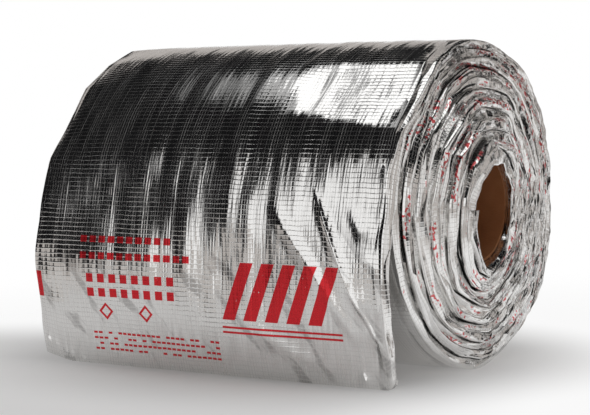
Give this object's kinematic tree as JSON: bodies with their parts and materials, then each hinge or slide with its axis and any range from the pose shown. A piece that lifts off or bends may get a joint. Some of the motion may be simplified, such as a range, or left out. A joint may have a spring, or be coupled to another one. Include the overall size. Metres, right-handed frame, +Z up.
{
  "type": "roll of fire barrier wrap",
  "caption": "Roll of foil-faced fire barrier wrap wound on a paper core, lying on its side with its free end hanging down the front to the floor.",
  "frame": {"origin": "on the floor, under the centre of the roll's bounding box", "axes": "+X along the roll's axis, towards the end where the inner turns stand out; -Y is the front, where the free end hangs; +Z up"},
  "size_m": [0.634, 0.4898, 0.4715],
  "materials": {
    "foil": "bright crinkled foil over a fine reinforcing scrim",
    "core_paper": "matt brown wound paper"
  },
  "bodies": {
    "root": {"wrap_roll": "foil", "core_tube": "core_paper"}
  },
  "joints": []
}
